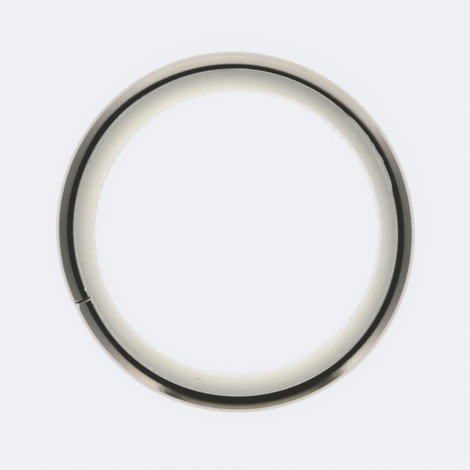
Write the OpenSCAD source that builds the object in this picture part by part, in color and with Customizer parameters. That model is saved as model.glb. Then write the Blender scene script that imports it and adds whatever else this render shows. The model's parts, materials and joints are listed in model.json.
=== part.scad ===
// Curtain ring: a rolled metal channel closed round a plastic liner.
// The ring lies flat, with its axis on Z and the middle of its bore at the origin.

/* [Liner] */
// Diameter of the bore, which slides on the pole
bore_d = 35.5; // [20:0.5:80]
// Depth of the liner's head, from the metal's edge to the bore
head_depth = 2.4; // [1.5:0.1:6]
// Width of the straight land in the bore
land_w = 0.9; // [0.4:0.1:1.2]
// Rounding on both sides of the land
corner_r = 0.65; // [0.3:0.05:0.8]
// Clearance between the liner and the sides of the channel
fit_gap = 0.05; // [0.03:0.01:0.1]
// How far the liner lies off the middle of the metal, within its play
liner_off = 0.16; // [0:0.01:0.2]
// Direction in which the liner lies off the middle, in degrees from X
liner_off_angle = 333; // [0:1:360]

/* [Metal strip] */
// Width of the half-round metal along the pole
shell_w = 4; // [3.6:0.1:6]
// Thickness of the strip
strip_t = 0.5; // [0.3:0.05:0.7]
// How far the strip's edges turn in past the crest, in degrees
lip_turn = 4; // [1:0.5:12]
// How far the metal is bent out of round, from its mean radius
out_of_round = 0.15; // [0:0.01:0.2]

/* [Joint] */
// Place of the joint round the ring, in degrees from X
joint_angle = 203.5; // [0:0.1:360]
// Width of the open joint
joint_gap = 0.12; // [0.06:0.01:0.4]
// How far the sheared ends lean along the ring, in degrees
joint_lean = 8; // [0:1:12]
// How far the one end is tucked in
inner_tuck = 0.42; // [0.1:0.01:0.45]
// How far the other end is tucked in, which leaves a step between the two
outer_tuck = 0.28; // [0.05:0.01:0.4]
// Length of the stretch that bends to the inner end, in degrees
inner_span = 55; // [35:1:60]
// Bevel round each end of the strip
end_bevel = 0.15; // [0.05:0.01:0.25]

/* [Wear] */
// Length of the spot that is pressed flat on the inner end
dent_l = 1.2; // [0.5:0.1:3]
// Depth of that spot at the joint
dent_depth = 0.16; // [0.02:0.01:0.2]
// Height of that spot round the section, in degrees
dent_angle = 30; // [10:5:60]
// Places of the nicks in the front edge of the strip, in degrees from X
nick_angles = [20.5, 24, 26.6, 29.5, 32.2, 34.2, 36.1, 38, 41.3, 201]; // [0:0.1:360]
// How far the edge is tucked in at each nick
nick_tucks = [0.14, 0.15, 0.15, 0.15, 0.15, 0.15, 0.15, 0.15, 0.15, 0.26]; // [0:0.01:0.3]
// Diameter of the round that each nick follows
nick_ds = [14, 14, 3.5, 14, 2.5, 14, 2.5, 14, 14, 0.6]; // [0.3:0.1:16]
// Depth of each nick
nick_depths = [0.33, 0.33, 0.43, 0.31, 0.36, 0.31, 0.37, 0.31, 0.31, 0.15]; // [0.05:0.01:0.45]

/* [Hidden] */
$fn = 96;
// A length that reaches well past the section
far = 3 * shell_w;

// Strip section, in U away from the axis of the ring and V along it
shell_r = shell_w / 2;
channel_r = shell_r - strip_t;
strip_mid_r = shell_r - strip_t / 2;
lip_u = -round(1000 * (strip_mid_r * sin(lip_turn) + strip_t / 2)) / 1000;
ring_r = bore_d / 2 + head_depth - lip_u;

// Five tangent arcs of the ring: three quarters, tight and wide by turns, and two ends to the joint
quarter = 90;
wide_shift = round(1000 * out_of_round / (sqrt(2) - 1)) / 1000;
outer_span = quarter - inner_span;
// Sweep past the joint that the ends are sheared from, in degrees
spare_span = 2;
function tuck_shift(tuck, span) = round(1000 * (tuck - wide_shift * sin(span)) / (1 - cos(span))) / 1000;

// Liner section: a tongue with play in the channel, a neck that fits it, and the head
neck_v = channel_r - fit_gap;
play = max(liner_off + out_of_round, inner_tuck + liner_off * cos(joint_angle - liner_off_angle));
neck_u = sqrt(channel_r * channel_r - neck_v * neck_v) - play - 2 * fit_gap;
tongue_r = neck_v - play;
bore_u = lip_u - head_depth;
corner_u = bore_u + corner_r;
corner_v = land_w / 2;
rise_u = lip_u - corner_u;
rise_v = neck_v - corner_v - corner_r;
reach_r = (rise_u * rise_u + rise_v * rise_v) / (2 * rise_v);
flank_r = reach_r + corner_r;
flank_turn = asin(rise_u / reach_r);
flank_foot_u = corner_u + corner_v * tan(flank_turn);

// Half-round section of the strip: two halves that overlap at the crown, each with a round edge
module strip_section() {
    for (side = [0, 1])
        mirror([0, side])
            rotate(lip_turn) {
                difference() {
                    circle(shell_r);
                    circle(channel_r);
                    translate([-far, -far])
                        square([far, 2 * far]);
                }
                translate([0, strip_mid_r])
                    circle(strip_t / 2);
            }
}

// What shears and bevels an end that faces +Y at the joint
module end_cut(tuck) {
    translate([ring_r - tuck, -joint_gap / 2, 0])
        rotate([-90 - joint_lean, 0, 0])
            translate([0, 0, -2 * end_bevel])
                difference() {
                    cylinder(r = far, h = far);
                    translate([0, 0, -end_bevel])
                        cylinder(r1 = shell_r + 2 * end_bevel, r2 = shell_r - end_bevel, h = 3 * end_bevel);
                }
}

// What the pressed spot takes off the shoulder of the inner end, turned over as that end is
module dent_cut() {
    translate([ring_r - inner_tuck, -joint_gap / 2, 0])
        rotate([0, dent_angle, 0])
            translate([shell_r, -dent_l, 0])
                rotate(atan2(dent_depth, dent_l))
                    translate([0, -far / 2, -far / 2])
                        cube([far, far, far]);
}

// A quarter from X to Y, with its middle moved so that it meets the next one in line
module quarter_stretch(shift) {
    translate([-shift, -shift, 0])
        rotate_extrude(angle = quarter)
            translate([ring_r + shift, 0])
                strip_section();
}

// An arc from X towards -Y that bends in by the tuck at the end of its span
module end_stretch(tuck, span) {
    shift = tuck_shift(tuck, span);
    end_r = ring_r - shift;
    sweep = span + asin((shift * sin(span) + wide_shift * cos(span)) / end_r) + spare_span;
    translate([shift, wide_shift, 0])
        rotate_extrude(angle = -sweep)
            translate([end_r, 0])
                strip_section();
}

module inner_end() {
    difference() {
        end_stretch(inner_tuck, inner_span);
        rotate([180, 0, -inner_span]) {
            end_cut(inner_tuck);
            dent_cut();
        }
    }
}

module outer_end() {
    difference() {
        rotate([180, 0, -quarter])
            end_stretch(outer_tuck, outer_span);
        rotate(-inner_span)
            end_cut(outer_tuck);
    }
}

module nick_cut(tuck, d, depth) {
    translate([ring_r + lip_u - tuck + depth - d / 2, 0, 0])
        cylinder(d = d, h = far);
}

module metal_shell() {
    color("silver")
        translate(-liner_off * [cos(liner_off_angle), sin(liner_off_angle), 0])
            difference() {
                rotate(joint_angle + inner_span) {
                    quarter_stretch(-wide_shift);
                    rotate(quarter)
                        quarter_stretch(wide_shift);
                    rotate(2 * quarter)
                        quarter_stretch(-wide_shift);
                    inner_end();
                    outer_end();
                }
                for (i = [0 : len(nick_angles) - 1])
                    rotate(nick_angles[i])
                        nick_cut(nick_tucks[i], nick_ds[i], nick_depths[i]);
            }
}

// Upper half of the liner's head: a flank that curves down to a round corner and the land
module head_half() {
    intersection() {
        translate([lip_u, neck_v - flank_r])
            circle(flank_r);
        polygon([
            [lip_u, 0],
            [lip_u, far],
            [corner_u - far * sin(flank_turn), corner_v + far * cos(flank_turn)],
            [flank_foot_u, 0]
        ]);
    }
    translate([corner_u, corner_v])
        circle(corner_r);
    polygon([
        [flank_foot_u, 0],
        [corner_u, corner_v],
        [bore_u, corner_v],
        [bore_u, 0]
    ]);
}

module liner_section() {
    circle(tongue_r);
    translate([lip_u, -neck_v])
        square([neck_u - lip_u, 2 * neck_v]);
    for (side = [0, 1])
        mirror([0, side])
            head_half();
}

module plastic_liner() {
    color("ivory")
        rotate_extrude()
            translate([ring_r, 0])
                liner_section();
}

metal_shell();
plastic_liner();
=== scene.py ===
import json
import math

import bpy
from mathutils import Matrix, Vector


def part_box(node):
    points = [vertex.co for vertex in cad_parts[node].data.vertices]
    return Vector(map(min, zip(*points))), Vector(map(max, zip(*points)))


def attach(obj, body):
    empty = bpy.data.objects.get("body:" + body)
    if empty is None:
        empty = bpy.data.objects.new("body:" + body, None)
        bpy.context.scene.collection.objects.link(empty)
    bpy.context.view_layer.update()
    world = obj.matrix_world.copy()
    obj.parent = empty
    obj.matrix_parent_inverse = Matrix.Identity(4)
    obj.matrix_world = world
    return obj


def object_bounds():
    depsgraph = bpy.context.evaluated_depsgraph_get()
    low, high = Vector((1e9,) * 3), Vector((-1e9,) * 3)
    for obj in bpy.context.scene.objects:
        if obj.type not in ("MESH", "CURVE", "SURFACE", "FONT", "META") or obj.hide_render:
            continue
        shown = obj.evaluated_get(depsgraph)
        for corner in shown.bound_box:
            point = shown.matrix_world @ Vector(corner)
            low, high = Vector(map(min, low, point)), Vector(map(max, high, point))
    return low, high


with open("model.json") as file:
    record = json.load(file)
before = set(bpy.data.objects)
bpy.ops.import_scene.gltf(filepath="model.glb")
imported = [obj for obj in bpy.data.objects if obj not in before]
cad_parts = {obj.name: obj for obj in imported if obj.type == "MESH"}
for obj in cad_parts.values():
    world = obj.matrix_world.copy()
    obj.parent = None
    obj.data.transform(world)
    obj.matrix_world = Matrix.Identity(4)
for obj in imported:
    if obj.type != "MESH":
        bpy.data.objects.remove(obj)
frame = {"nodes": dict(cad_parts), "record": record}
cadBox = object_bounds()
mm = 0.001
print("frame loaded:", sorted(frame["nodes"]))

ring = {
    "outer": 22.522 * mm,  # mean outer radius of the metal
    "lipReach": 0.372 * mm,  # how far the metal's edges reach in from the middle of its section
    "centre": (-0.1426 * mm, 0.0726 * mm),
    "joint": math.radians(203.5),
    "lean": math.radians(8),  # how far the sheared ends lean along the ring
    # the two stretches that bend in to the joint, and how far their middles lie off
    "innerSpan": math.radians(55),
    "innerShift": 0.290 * mm,
    "outerSpan": math.radians(35),
    "outerShift": 0.400 * mm,
    "wideShift": 0.362 * mm,  # how far the middles of its quarters lie off, as it is out of round
    # worn places in the lip: place in degrees, depth and radius of the round that each follows
    "worn": [
        (20.5, 0.33 * mm, 7 * mm), (24, 0.33 * mm, 7 * mm), (26.6, 0.43 * mm, 1.75 * mm),
        (29.5, 0.31 * mm, 7 * mm), (32.2, 0.36 * mm, 1.25 * mm), (34.2, 0.31 * mm, 7 * mm),
        (36.1, 0.37 * mm, 1.25 * mm), (38, 0.31 * mm, 7 * mm), (41.3, 0.31 * mm, 7 * mm),
        (201, 0.15 * mm, 0.3 * mm),
    ],
}
shellLow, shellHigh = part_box("metal_shell")
sectionRadius = (shellHigh[2] - shellLow[2]) / 2
ringRadius = ring["outer"] - sectionRadius
lipRadius = ringRadius - ring["lipReach"]
shellCentre = (*ring["centre"], (shellHigh[2] + shellLow[2]) / 2)
boreRadius = frame["record"]["mounts"][0]["dims"]["r_mm"] * mm


class Value:  # a socket that adds Math nodes when it is used in an expression
    def __init__(self, graph, socket):
        self.graph = graph
        self.socket = socket

    def math(self, operation, *others):
        return self.graph.add("ShaderNodeMath", {"operation": operation}, dict(enumerate((self, *others))))

    def __add__(self, other):
        return self.math("ADD", other)

    def __sub__(self, other):
        return self.math("SUBTRACT", other)

    def __rsub__(self, other):
        return self.graph.number(other).math("SUBTRACT", self)

    def __mul__(self, other):
        return self.math("MULTIPLY", other)

    def __truediv__(self, other):
        return self.math("DIVIDE", other)

    def __pow__(self, other):
        return self.math("POWER", other)

    __radd__ = __add__
    __rmul__ = __mul__


class Graph:  # one node tree, with a single way to add a node
    def __init__(self, tree):
        self.tree = tree
        tree.nodes.clear()

    def add(self, kind, settings=None, inputs=None, output=0):
        node = self.tree.nodes.new(kind)
        for name, setting in (settings or {}).items():
            if name == "stops":
                self.setStops(node.color_ramp, setting)
            else:
                setattr(node, name, setting)
        for name, value in (inputs or {}).items():
            if isinstance(value, Value):
                self.tree.links.new(value.socket, node.inputs[name])
            else:
                node.inputs[name].default_value = value
        return Value(self, node.outputs[output]) if node.outputs else node

    def setStops(self, ramp, stops):
        while len(ramp.elements) < len(stops):
            ramp.elements.new(1.0)
        for element, (place, colour) in zip(ramp.elements, stops):
            element.position = place
            element.color = (*colour, 1.0)

    def number(self, value):
        return self.add("ShaderNodeMath", {"operation": "ADD"}, {0: value, 1: 0.0})

    def split(self, vector):
        node = self.add("ShaderNodeSeparateXYZ", None, {0: vector}).socket.node
        return [Value(self, output) for output in node.outputs]

    def join(self, x, y, z):
        return self.add("ShaderNodeCombineXYZ", None, {0: x, 1: y, 2: z})

    def smooth(self, value, low, high):
        settings = {"interpolation_type": "SMOOTHSTEP"}
        return self.add("ShaderNodeMapRange", settings, {0: value, 1: low, 2: high})

    def mix(self, factor, first, second, blend="MIX"):
        settings = {"data_type": "RGBA", "blend_type": blend}
        return self.add("ShaderNodeMix", settings, {0: factor, 6: first, 7: second}, 2)

    def dim(self, colour, share):
        return self.mix(1.0, colour, self.join(share, share, share), "MULTIPLY")

    def noise(self, vector, scale, detail=2.0, roughness=0.5):
        inputs = {"Vector": vector, "Scale": scale, "Detail": detail, "Roughness": roughness}
        return self.add("ShaderNodeTexNoise", None, inputs)

    def bump(self, height, strength, distance):
        inputs = {"Strength": strength, "Distance": distance, "Height": height}
        return self.add("ShaderNodeBump", None, inputs)

    def objectPlace(self):
        return self.add("ShaderNodeTexCoord", None, None, "Object")


def newMaterial(name):
    material = bpy.data.materials.new(name)
    material.use_nodes = True
    return material, Graph(material.node_tree)


def linear(red, green, blue):  # a screen colour of 0 to 255 as light
    def one(level):
        level = level / 255
        return level / 12.92 if level <= 0.04045 else ((level + 0.055) / 1.055) ** 2.4

    return (one(red), one(green), one(blue), 1.0)


def turnedFrom(around, place):  # angle round the ring from a place, which is minus on one side of it
    turn = ((around - place) / (2 * math.pi) + 0.5).math("FRACT")
    return (turn - 0.5) * (2 * math.pi)


def apart(around, degrees):  # how far round the ring a point lies from a place
    return turnedFrom(around, math.radians(degrees)).math("ABSOLUTE")


def lipTuck(around):
    # how far the metal lies in from its mean radius, as it is out of round and tucked in at the joint
    start = ring["joint"] + ring["innerSpan"]
    turn = ((around - start) / (2 * math.pi)).math("FRACT") * 4.0
    count = turn.math("FLOOR")
    within = turn.math("FRACT") * (math.pi / 2)
    back = math.pi / 2 - within
    wideShift = ring["wideShift"]
    bulge = (within.math("COSINE") + within.math("SINE") - 1.0) * wideShift
    wide = count.math("COMPARE", 1.0, 0.5)  # the second quarter is the flat one
    atEnds = count.math("COMPARE", 3.0, 0.5)  # the fourth holds the joint
    onInner = within.math("GREATER_THAN", ring["outerSpan"])
    outerTuck = (1.0 - within.math("COSINE")) * ring["outerShift"] + within.math("SINE") * wideShift
    innerTuck = (1.0 - back.math("COSINE")) * ring["innerShift"] + back.math("SINE") * wideShift
    tucked = onInner * innerTuck + (1.0 - onInner) * outerTuck
    return atEnds * tucked + (1.0 - atEnds) * (2.0 * wide - 1.0) * bulge


def ringPlace(graph):
    # angle round the ring, distance from its axis as if the metal were round, and angle round the strip
    coordinates = graph.objectPlace()
    x, y, z = graph.split(coordinates)
    x = x - shellCentre[0]
    y = y - shellCentre[1]
    around = y.math("ARCTAN2", x)
    radius = (x * x + y * y).math("SQRT") + lipTuck(around)
    across = z.math("ARCTAN2", radius - ringRadius)
    return coordinates, around, radius, across


nickelFinish = {
    "colour": (0.76, 0.71, 0.635, 1.0),
    "tarnish": (0.69, 0.63, 0.545, 1.0),
    # noise in the metal: scale, detail and roughness, where it begins and ends, and how much of it shows
    "cloud": (260.0, 3.0),
    "cloudReach": (0.45, 0.75),
    "cloudShare": 0.6,
    "grain": (2400.0, 3.0, 0.7),
    "grainReach": (0.4, 0.7),
    "grainShare": 0.5,
    "specks": (5200.0, 2.0),
    "speckReach": (0.66, 0.74),
    # noise of the brushing: stretch round the ring and across the strip, seed, scale, detail and roughness
    "lines": ((2.0, 40.0, 0.0), 3.0, 6.0, 0.7),
    "scratches": ((14.0, 60.0, 3.0), 1.0, 3.0, 0.6),
    "scratchReach": (0.62, 0.72),
    "scratchShare": 0.4,
    "streaks": ((22.0, 12.0, 7.0), 1.0, 3.0, 0.6),
    "streakTurn": 0.10,  # how far the brushing turns the reflections along the ring
    "roughness": 0.06,
    "lineRoughness": 0.09,
    "lineDepth": 0.004 * mm,
    "lineStrength": 0.5,
    "speckRoughness": 0.08,
    "edgeReach": (math.radians(93.5), math.radians(96.5)),  # angles round the strip where its edge begins
    "edgeColour": (0.70, 0.68, 0.64, 1.0),
    "edgeRoughness": 0.06,
    "shearReach": (0.30 * mm, 0.22 * mm),  # how far the sheared ends and their bevels reach from the joint
    "shearRoughness": 0.24,
    "jointReach": (0.13 * mm, 0.08 * mm),  # how far the dirt in the joint reaches
    "jointColour": (0.09, 0.075, 0.06, 1.0),
}


def makeNickel():
    material, graph = newMaterial("brushedNickel")
    finish = nickelFinish
    coordinates, around, _, across = ringPlace(graph)

    def brushed(name):
        (along, over, seed), *settings = finish[name]
        return graph.noise(graph.join(around * along, across * over, seed), *settings)

    lines = brushed("lines")
    scratches = graph.smooth(brushed("scratches"), *finish["scratchReach"])
    specks = graph.smooth(graph.noise(coordinates, *finish["specks"]), *finish["speckReach"])
    cloud = graph.smooth(graph.noise(coordinates, *finish["cloud"]), *finish["cloudReach"])
    grain = graph.smooth(graph.noise(coordinates, *finish["grain"]), *finish["grainReach"])
    edge = graph.smooth(across.math("ABSOLUTE"), *finish["edgeReach"])
    height = graph.split(coordinates)[2]
    fromJoint = turnedFrom(around, ring["joint"]) * ringRadius - height * math.tan(ring["lean"])
    fromJoint = fromJoint.math("ABSOLUTE")
    sheared = graph.smooth(fromJoint, *finish["shearReach"])
    dirty = graph.smooth(fromJoint, *finish["jointReach"])
    colour = graph.mix(cloud * finish["cloudShare"], finish["colour"], finish["tarnish"])
    colour = graph.mix(grain * finish["grainShare"], colour, finish["tarnish"])
    colour = graph.mix(edge, colour, finish["edgeColour"])
    colour = graph.mix(dirty, colour, finish["jointColour"])
    worn = scratches * finish["scratchShare"] + specks
    roughness = finish["roughness"] + lines * finish["lineRoughness"]
    roughness = roughness + worn * finish["speckRoughness"] + edge * finish["edgeRoughness"]
    roughness = roughness + sheared * finish["shearRoughness"]
    streak = (brushed("streaks") - 0.5) * finish["streakTurn"]
    alongRing = graph.join(around.math("SINE") * streak * -1.0, around.math("COSINE") * streak, 0.0)
    bump = graph.bump(lines, finish["lineStrength"], finish["lineDepth"])
    normal = graph.add("ShaderNodeVectorMath", {"operation": "ADD"}, {0: bump, 1: alongRing})
    shader = graph.add("ShaderNodeBsdfPrincipled", None, {
        "Base Color": colour,
        "Metallic": 1.0,
        "Roughness": roughness,
        "Normal": normal,
    })
    graph.add("ShaderNodeOutputMaterial", None, {"Surface": shader})
    return material


linerFinish = {
    # painted shade along the rim by the metal's lip, paler on one side as painted light, fading inward to
    # the flank's colour
    "rimShadeColour": (0.475, 0.47, 0.435, 1.0),
    "litRimShadeColour": (0.56, 0.55, 0.505, 1.0),
    "litSide": math.radians(250),
    "flankColour": (0.80, 0.77, 0.69, 1.0),
    "rimShadeReach": (lipRadius + 0.3 * mm, boreRadius + 0.2 * mm),
    "rimShadeCurve": 1.25,  # how slowly the flank's colour takes over from the painted shade at the rim
    # painted light near the lip, filling the shadow that the lip casts on the liner
    "underLipLightColour": (0.80, 0.79, 0.735, 1.0),
    "underLipLightReach": (lipRadius - 0.45 * mm, lipRadius),
    "underLipLightShare": (0.35, 0.65),  # how much of this painted light shows all round, and how much more on the pale side
    # painted light at the bore edge, standing in for light from the floor through the thin plastic
    "boreLightColour": (0.975, 0.96, 0.91, 1.0),
    "boreLightReach": (boreRadius + 0.42 * mm, boreRadius + 0.05 * mm),
    "sideShading": (math.radians(183), 0.05),  # place and strength of its painted light and shade, on one side and across
    "crossShading": (math.radians(122), 0.075),
    # noise in the plastic: scale and detail, where it begins and ends, and how much of it shows
    "mottle": (900.0, 3.0),
    "mottleReach": (0.5, 0.8),
    "mottleShare": 0.07,
    "mottleColour": (0.62, 0.60, 0.53, 1.0),
    "grain": (5200.0, 4.0),
    "grainStrength": 0.05,
    "grainDepth": 0.006 * mm,
    "grainRoughness": 0.1,
    "roughness": 0.28,
    "specular": 0.3,
    "scatter": 0.8,
    "scatterReach": 1.8 * mm,
    "speckColour": (0.42, 0.41, 0.37, 1.0),
    "speckEdge": (1.2, 0.5),  # where a mark begins and where it is full, in its half lengths
    # grey marks in the face: place, half lengths and strength
    "specks": [
        ((-4.75 * mm, -18.2 * mm), (0.20 * mm, 0.11 * mm), 0.55),
        ((-4.95 * mm, -18.22 * mm), (0.75 * mm, 0.12 * mm), 0.25),
        ((-3.76 * mm, 19.35 * mm), (0.09 * mm, 0.30 * mm), 0.3),
    ],
}


def makeLinerPlastic():
    material, graph = newMaterial("creamPlastic")
    finish = linerFinish
    coordinates, around, lipDistance, _ = ringPlace(graph)
    x, y, z = graph.split(coordinates)
    radius = (x * x + y * y).math("SQRT")
    # painted shade at the rim, lighter on the pale side as painted light
    pale = (around - finish["litSide"]).math("COSINE") * 0.5 + 0.5
    shadedRim = graph.mix(pale, finish["rimShadeColour"], finish["litRimShadeColour"])
    outOfRimShade = graph.smooth(radius, *finish["rimShadeReach"])
    colour = graph.mix(outOfRimShade ** finish["rimShadeCurve"], shadedRim, finish["flankColour"])
    # painted light and shade round the ring, brighter on some sides than others
    side, sideStrength = finish["sideShading"]
    cross, crossStrength = finish["crossShading"]
    sideShading = (around - side).math("COSINE") * sideStrength
    crossShading = ((around - cross) * 2.0).math("COSINE") * crossStrength
    colour = graph.dim(colour, sideShading + crossShading + 1.0)
    # painted light under the lip, filling the lip's shadow
    least, more = finish["underLipLightShare"]
    underLipLight = graph.smooth(lipDistance, *finish["underLipLightReach"]) * (pale * more + least)
    colour = graph.mix(underLipLight, colour, finish["underLipLightColour"])
    # painted light at the bore edge
    colour = graph.mix(graph.smooth(radius, *finish["boreLightReach"]), colour, finish["boreLightColour"])
    mottle = graph.smooth(graph.noise(coordinates, *finish["mottle"]), *finish["mottleReach"])
    colour = graph.mix(mottle * finish["mottleShare"], colour, finish["mottleColour"], "MULTIPLY")
    front = z.math("GREATER_THAN", 0.0)
    for place, size, strength in finish["specks"]:
        offX = (x - place[0]) / size[0]
        offY = (y - place[1]) / size[1]
        off = (offX * offX + offY * offY).math("SQRT")
        speck = graph.smooth(off, *finish["speckEdge"]) * front * strength
        colour = graph.mix(speck, colour, finish["speckColour"])
    grain = graph.noise(coordinates, *finish["grain"])
    shader = graph.add("ShaderNodeBsdfPrincipled", None, {
        "Base Color": colour,
        "Roughness": finish["roughness"] + grain * finish["grainRoughness"],
        "Subsurface Weight": finish["scatter"],
        "Subsurface Radius": (1.0, 1.0, 1.0),
        "Subsurface Scale": finish["scatterReach"],
        "Specular IOR Level": finish["specular"],
        "Normal": graph.bump(grain, finish["grainStrength"], finish["grainDepth"]),
    })
    graph.add("ShaderNodeOutputMaterial", None, {"Surface": shader})
    return material


def dress(node, material):
    piece = frame["nodes"][node]
    piece.data.materials.clear()
    piece.data.materials.append(material)


dress("metal_shell", makeNickel())
dress("plastic_liner", makeLinerPlastic())
print("finishes set")

rimFlash = {  # the thin pale edge of plastic that stands along the metal's lip
    "size": 0.048 * mm,
    "rise": 2.4,  # how much taller than wide it is
    "inset": 0.9,  # how far its middle lies in from the lip, in its own sizes
    "height": 1.52 * mm,
    "wave": 0.012 * mm,
    "ripple": (260.0, 0.75, 0.5),  # scale of its uneven size, the least size and how much is added
    "steps": 1440,
    "sides": 8,
    "seed": 4.0,
    "colour": (0.86, 0.85, 0.79, 1.0),
    "grainColour": (0.66, 0.65, 0.59, 1.0),
    "grain": (2600.0, 3.0),
    "grainReach": (0.45, 0.7),
    "grainShare": 0.2,
    "grainStrength": 0.2,
    "grainDepth": 0.01 * mm,
    "grainRoughness": 0.1,
    "roughness": 0.3,
    # place, half length and growth where it is torn up or stands fuller
    "tears": [(27.0, 0.6, 1.0), (72.0, 0.5, 1.4), (135.0, 35.0, 0.3), (201.0, 0.9, 1.0), (205.0, 52.0, 0.7)],
    "tearEdge": (1.0, 0.2),  # where that begins and where it is full, in half lengths
    # place, half lengths and size where it is thin
    "faint": [(70.0, 14.0, 34.0, 0.55), (292.0, 30.0, 55.0, 0.15)],
    # place, half length and share where it laps over the lip
    "laps": [(3.0, 20.0, 0.35), (72.0, 34.0, 1.0), (201.0, 1.0, 0.55), (205.6, 1.4, 0.75)],
    "lapEdge": (1.0, 0.4),  # where that begins and where it is full, in half lengths
    "lapRise": 0.42 * mm,
    "lapOut": 0.14 * mm,
}


def makeFlashPlastic():
    material, graph = newMaterial("paleFlash")
    grain = graph.noise(graph.objectPlace(), *rimFlash["grain"])
    marked = graph.smooth(grain, *rimFlash["grainReach"]) * rimFlash["grainShare"]
    shader = graph.add("ShaderNodeBsdfPrincipled", None, {
        "Base Color": graph.mix(marked, rimFlash["colour"], rimFlash["grainColour"]),
        "Roughness": rimFlash["roughness"] + grain * rimFlash["grainRoughness"],
        "Normal": graph.bump(grain, rimFlash["grainStrength"], rimFlash["grainDepth"]),
    })
    graph.add("ShaderNodeOutputMaterial", None, {"Surface": shader})
    return material


def makeFlashTree():
    tree = bpy.data.node_groups.new("rimFlash", "GeometryNodeTree")
    graph = Graph(tree)
    tree.interface.new_socket("Geometry", in_out="OUTPUT", socket_type="NodeSocketGeometry")
    names = {}
    for name, kind in (("Ring radius", "Float"), ("Size", "Float"), ("Rise", "Float"), ("Wave", "Float"),
                       ("Centre", "Vector"), ("Seed", "Float"), ("Steps", "Int"), ("Sides", "Int"),
                       ("Material", "Material")):
        socket = tree.interface.new_socket(name, in_out="INPUT", socket_type="NodeSocket" + kind)
        names[name] = socket.identifier
    given = graph.add("NodeGroupInput").socket.node.outputs
    given = {name: Value(graph, given[name]) for name in names}
    path = graph.add("GeometryNodeCurvePrimitiveCircle", {"mode": "RADIUS"}, {
        "Resolution": given["Steps"],
        "Radius": given["Ring radius"],
    })
    place = graph.add("GeometryNodeInputPosition")
    x, y, _ = graph.split(place)
    around = (y.math("ARCTAN2", x) / (2 * math.pi)).math("FRACT") * (2 * math.pi)
    rippleScale, leastSize, addedSize = rimFlash["ripple"]
    ripple = graph.add("ShaderNodeTexNoise", {"noise_dimensions": "4D"}, {
        "Vector": place,
        "W": given["Seed"],
        "Scale": rippleScale,
        "Detail": 2.0,
    })
    grow = leastSize + ripple * addedSize
    lap = graph.number(0.0)
    for degrees, half, growth in rimFlash["tears"]:
        torn = graph.smooth(apart(around, degrees) / math.radians(half), *rimFlash["tearEdge"])
        grow = grow + torn * growth
    for degrees, half, share in rimFlash["laps"]:
        lapped = graph.smooth(apart(around, degrees) / math.radians(half), *rimFlash["lapEdge"])
        lap = lap + lapped * share
    for degrees, near, far, size in rimFlash["faint"]:
        full = graph.smooth(apart(around, degrees), math.radians(near), math.radians(far))
        grow = grow * (size + full * (1.0 - size))
    worn = graph.number(0.0)  # how far the worn rounds cut the lip back
    for degrees, depth, bend in ring["worn"]:
        along = (around - math.radians(degrees)) * lipRadius
        worn = worn.math("MAXIMUM", depth - along * along * (0.5 / bend - 0.5 / lipRadius))
    tuck = lipTuck(around) - worn - lap * rimFlash["lapOut"]
    inset = (ripple - 0.5) * given["Wave"] + tuck + (grow - 1.0).math("MAXIMUM", 0.0) * given["Size"]
    lift = lap * rimFlash["lapRise"] / given["Rise"]
    offset = graph.join(around.math("COSINE") * inset * -1.0, around.math("SINE") * inset * -1.0, lift)
    path = graph.add("GeometryNodeSetPosition", None, {"Geometry": path, "Offset": offset})
    path = graph.add("GeometryNodeSetCurveRadius", None, {"Curve": path, "Radius": given["Size"] * grow})
    profile = graph.add("GeometryNodeCurvePrimitiveCircle", {"mode": "RADIUS"}, {
        "Resolution": given["Sides"],
        "Radius": 1.0,
    })
    bead = graph.add("GeometryNodeCurveToMesh", None, {
        "Curve": path,
        "Profile Curve": profile,
        "Scale": graph.add("GeometryNodeInputRadius"),
    })
    bead = graph.add("GeometryNodeTransform", None, {
        "Geometry": bead,
        "Translation": given["Centre"],
        "Scale": graph.join(1.0, 1.0, given["Rise"]),
    })
    bead = graph.add("GeometryNodeSetShadeSmooth", None, {"Geometry": bead})
    bead = graph.add("GeometryNodeRealizeInstances", None, {"Geometry": bead})
    bead = graph.add("GeometryNodeSetMaterial", None, {"Geometry": bead, "Material": given["Material"]})
    graph.add("NodeGroupOutput", None, {"Geometry": bead})
    return tree, names


def makeRimFlash():
    tree, names = makeFlashTree()
    material = makeFlashPlastic()
    maker = bpy.data.objects.new("linerRimFlash", bpy.data.meshes.new("linerRimFlash"))
    bpy.context.collection.objects.link(maker)
    grown = maker.modifiers.new("flash", "NODES")
    grown.node_group = tree
    values = {
        "Ring radius": lipRadius - rimFlash["inset"] * rimFlash["size"],
        "Size": rimFlash["size"],
        "Rise": rimFlash["rise"],
        "Wave": rimFlash["wave"],
        "Centre": (shellCentre[0], shellCentre[1], shellCentre[2] + rimFlash["height"]),
        "Seed": rimFlash["seed"],
        "Steps": rimFlash["steps"],
        "Sides": rimFlash["sides"],
        "Material": material,
    }
    for name, value in values.items():
        grown[names[name]] = value
    seen = maker.evaluated_get(bpy.context.evaluated_depsgraph_get())
    mesh = bpy.data.meshes.new_from_object(seen)
    maker.modifiers.remove(grown)
    maker.data = mesh
    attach(maker, "root")
    print("rim flash:", len(mesh.polygons), "faces")


makeRimFlash()

stageLook = {
    "floorSize": 0.6,
    "background": linear(239, 240, 244),
    "floorColour": (0.97, 0.97, 0.975, 1.0),
    "seenGlow": 0.92,  # how much of the plain background is seen in the floor, beside its shadow
    # where reflections begin to see the walls again in the floor, and the middle of that
    "polishReach": (ring["outer"] + 9 * mm, ring["outer"] + 18 * mm),
    "polishCentre": (1.4 * mm, -1.6 * mm),
    "sheenColour": (0.95, 0.95, 0.95, 1.0),
    "sheenRoughness": 0.1,
}


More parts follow.
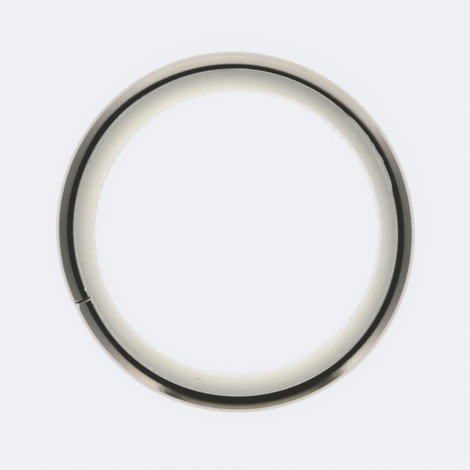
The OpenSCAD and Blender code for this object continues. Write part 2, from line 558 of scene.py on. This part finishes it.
def makeFloor():
    material, graph = newMaterial("paleFloor")
    rays = graph.add("ShaderNodeLightPath").socket.node.outputs
    seen = Value(graph, rays["Is Camera Ray"])
    mirrored = Value(graph, rays["Is Glossy Ray"])
    through = Value(graph, rays["Is Transmission Ray"])
    direct = seen.math("MAXIMUM", mirrored).math("MAXIMUM", through)
    x, y, _ = graph.split(graph.objectPlace())
    x = x - stageLook["polishCentre"][0]
    y = y - stageLook["polishCentre"][1]
    radius = (x * x + y * y).math("SQRT")
    polish = graph.smooth(radius, *stageLook["polishReach"]) * mirrored * (1.0 - seen)
    plain = graph.add("ShaderNodeBsdfDiffuse", None, {"Color": stageLook["floorColour"]})
    glow = graph.add("ShaderNodeEmission", None, {"Color": stageLook["background"], "Strength": 1.0})
    sheen = graph.add("ShaderNodeBsdfGlossy", None, {
        "Color": stageLook["sheenColour"],
        "Roughness": stageLook["sheenRoughness"],
    })
    shader = graph.add("ShaderNodeMixShader", None, {0: direct * stageLook["seenGlow"], 1: plain, 2: glow})
    shader = graph.add("ShaderNodeMixShader", None, {0: polish, 1: shader, 2: sheen})
    graph.add("ShaderNodeOutputMaterial", None, {"Surface": shader})
    half = stageLook["floorSize"] / 2
    level = cadBox[0][2]
    mesh = bpy.data.meshes.new("paleFloor")
    corners = [(-half, -half, level), (half, -half, level), (half, half, level), (-half, half, level)]
    mesh.from_pydata(corners, [], [(0, 1, 2, 3)])
    floor = bpy.data.objects.new("paleFloor", mesh)
    bpy.context.collection.objects.link(floor)
    mesh.materials.append(material)


makeFloor()

studio = {
    "panel": (0.93, 0.92, 0.91),
    "warmPanel": (0.98, 0.93, 0.89),
    "wall": (0.19, 0.195, 0.20),
    "corner": (0.44, 0.43, 0.42),
    "lowWall": (0.35, 0.335, 0.293),
    "gap": (0.095, 0.093, 0.087),  # the dark gaps on both sides of the low wall
    "overhead": (0.034, 0.034, 0.033),
    "upperShade": 0.78,  # share of their strength that the walls keep near the top
    "shadeTilts": (30.0, 95.0),  # where that ends and where they are full, in degrees from the zenith
    # what stands round the ring: place in degrees, one of the colours above and its strength
    "places": [
        (0, "wall", 1), (20, "wall", 1.28), (30, "corner", 1), (39, "panel", 0.86), (85, "panel", 1),
        (120, "panel", 1), (146, "wall", 1.65), (155, "wall", 1.25), (180, "wall", 0.88), (195, "wall", 1),
        (210, "wall", 1.35), (220, "wall", 1.8), (225, "warmPanel", 0.51), (238, "warmPanel", 1),
        (242.6, "warmPanel", 1.06), (244.4, "gap", 2.2), (246.5, "gap", 1), (250, "gap", 0.8),
        (253, "lowWall", 0.85), (258, "lowWall", 1.12), (290, "lowWall", 1), (296, "lowWall", 0.7),
        (299, "gap", 1.1), (304.8, "gap", 1.3), (306.6, "panel", 0.4), (308.4, "panel", 0.95),
        (311, "panel", 1.1), (315, "panel", 1.05), (321, "panel", 0.8), (328, "panel", 0.45),
        (341, "wall", 1.3), (350, "wall", 1),
    ],
    # place in degrees, how far the dark overhead reaches down from the zenith and how soft its edge is
    "overheadReach": [
        (0, 35, 6), (25, 38, 6), (31, 41, 9), (38, 40, 15), (48, 34, 14), (56, 28.5, 12), (72, 27, 8),
        (90, 26, 6), (106, 26, 6), (122, 32, 6), (140, 44, 7), (148, 40, 6), (156, 34.5, 6), (180, 36, 6),
        (208, 33.5, 6), (220, 34, 6), (227, 39, 6), (236, 42, 7), (240, 41, 6), (244, 47, 6), (247, 47, 7),
        (250, 46, 9), (253, 56, 14), (256, 64, 19), (296, 64, 19), (302, 57, 16), (306, 46, 9), (309, 44, 7),
        (312, 37, 6), (340, 38, 6), (360, 36, 6),
    ],
}


def makeStudio():
    world = bpy.data.worlds.new("studio")
    bpy.context.scene.world = world
    world.use_nodes = True
    graph = Graph(world.node_tree)
    x, y, z = graph.split(graph.add("ShaderNodeTexCoord", None, None, "Generated"))
    turn = (y.math("ARCTAN2", x) / (2 * math.pi)).math("FRACT")
    tilt = z.math("ARCCOSINE") * (180 / math.pi)
    stops = []
    for degrees, name, share in studio["places"]:
        stops.append((degrees / 360, [level * share for level in studio[name]]))
    walls = graph.add("ShaderNodeValToRGB", {"stops": stops}, {0: turn})
    lower = graph.smooth(tilt, *studio["shadeTilts"])
    walls = graph.dim(walls, studio["upperShade"] + lower * (1.0 - studio["upperShade"]))
    stops = []  # a ramp holds 0 to 1, so tilts are shares of a right angle
    for degrees, reach, soft in studio["overheadReach"]:
        stops.append((degrees / 360, (reach / 90, soft / 90, 0.0)))
    edge, soft, _ = graph.split(graph.add("ShaderNodeValToRGB", {"stops": stops}, {0: turn}))
    opening = graph.smooth((tilt / 90.0 - edge) / soft, -1.0, 1.0)
    colour = graph.mix(opening, (*studio["overhead"], 1.0), walls)
    background = graph.add("ShaderNodeBackground", None, {"Color": colour, "Strength": 1.0})
    graph.add("ShaderNodeOutputWorld", None, {"Surface": background})


makeStudio()

topFill = {
    "place": (-0.04, -0.09, 0.41),
    "size": 0.9,
    "power": 2.5,
}


def makeLamp():
    lamp = bpy.data.lights.new("topFill", "AREA")
    lamp.shape = "DISK"
    lamp.size = topFill["size"]
    lamp.energy = topFill["power"]
    holder = bpy.data.objects.new("topFill", lamp)
    bpy.context.collection.objects.link(holder)
    holder.location = topFill["place"]
    toward = -holder.location
    holder.rotation_euler = toward.to_track_quat("-Z", "Y").to_euler()
    holder.visible_glossy = False


makeLamp()
print("stage and light set")

view = {
    "distance": 300 * mm,
    "clipStart": 10 * mm,
    "pictureSide": 470,
    "ringRadiusPixels": 180.0,
    "ringPixel": (235.5, 232.2),
    "sensor": 36.0,
}


def makeCamera():
    side = view["pictureSide"]
    pixel = ring["outer"] / view["ringRadiusPixels"]
    camera = bpy.data.cameras.new("photoCamera")
    camera.sensor_width = view["sensor"]
    camera.lens = view["sensor"] * view["distance"] / (side * pixel)
    camera.clip_start = view["clipStart"]
    holder = bpy.data.objects.new("photoCamera", camera)
    bpy.context.collection.objects.link(holder)
    across = (side / 2 - view["ringPixel"][0]) * pixel
    up = (view["ringPixel"][1] - side / 2) * pixel
    holder.location = (shellCentre[0] + across, shellCentre[1] + up, shellCentre[2] + view["distance"])
    bpy.context.scene.camera = holder


makeCamera()
bpy.context.scene.view_settings.view_transform = "Standard"

print("finished")
